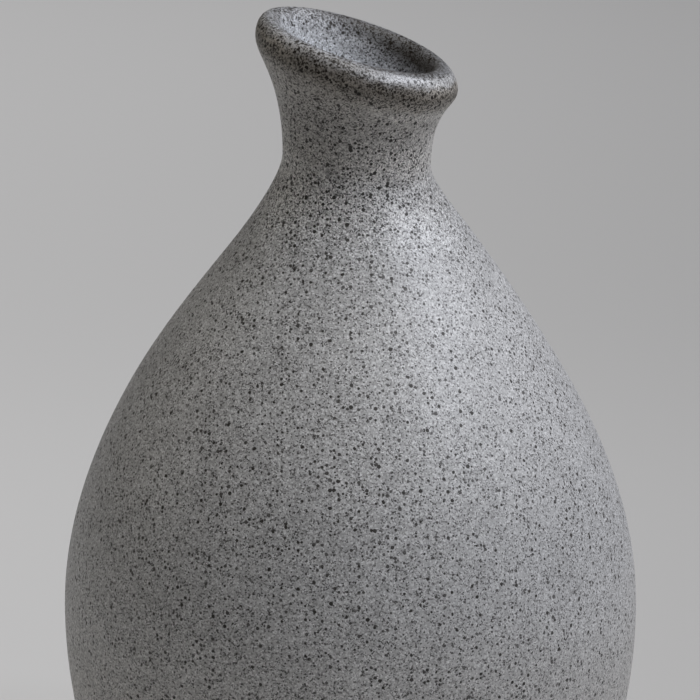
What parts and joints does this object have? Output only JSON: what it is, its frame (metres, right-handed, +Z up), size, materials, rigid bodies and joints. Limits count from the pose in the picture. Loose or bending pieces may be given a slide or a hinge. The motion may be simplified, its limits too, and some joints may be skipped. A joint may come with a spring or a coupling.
{
  "type": "bud vase",
  "caption": "Stoneware bud vase with a full teardrop body, a narrow leaning neck and a slanted, rounded flaring lip, in speckled grey satin glaze.",
  "frame": {"origin": "centre of the base, level with the undersides of the foot pads", "axes": "+Z up along the body's turning axis; +X towards the low side of the slanted mouth, so the neck leans and the mouth dips towards +X; Y is across, and the vase is the same on both sides of Y = 0"},
  "size_m": [0.123, 0.123, 0.2005],
  "materials": {
    "bare_clay": "matte",
    "speckled_glaze": "satin",
    "liner_glaze": "satin",
    "pad_felt": "matte"
  },
  "bodies": {
    "root": {"clay_body": "bare_clay", "outer_glaze": "speckled_glaze", "inner_glaze": "liner_glaze", "foot_pad_1": "pad_felt", "foot_pad_2": "pad_felt", "foot_pad_3": "pad_felt", "foot_pad_4": "pad_felt"}
  },
  "joints": []
}
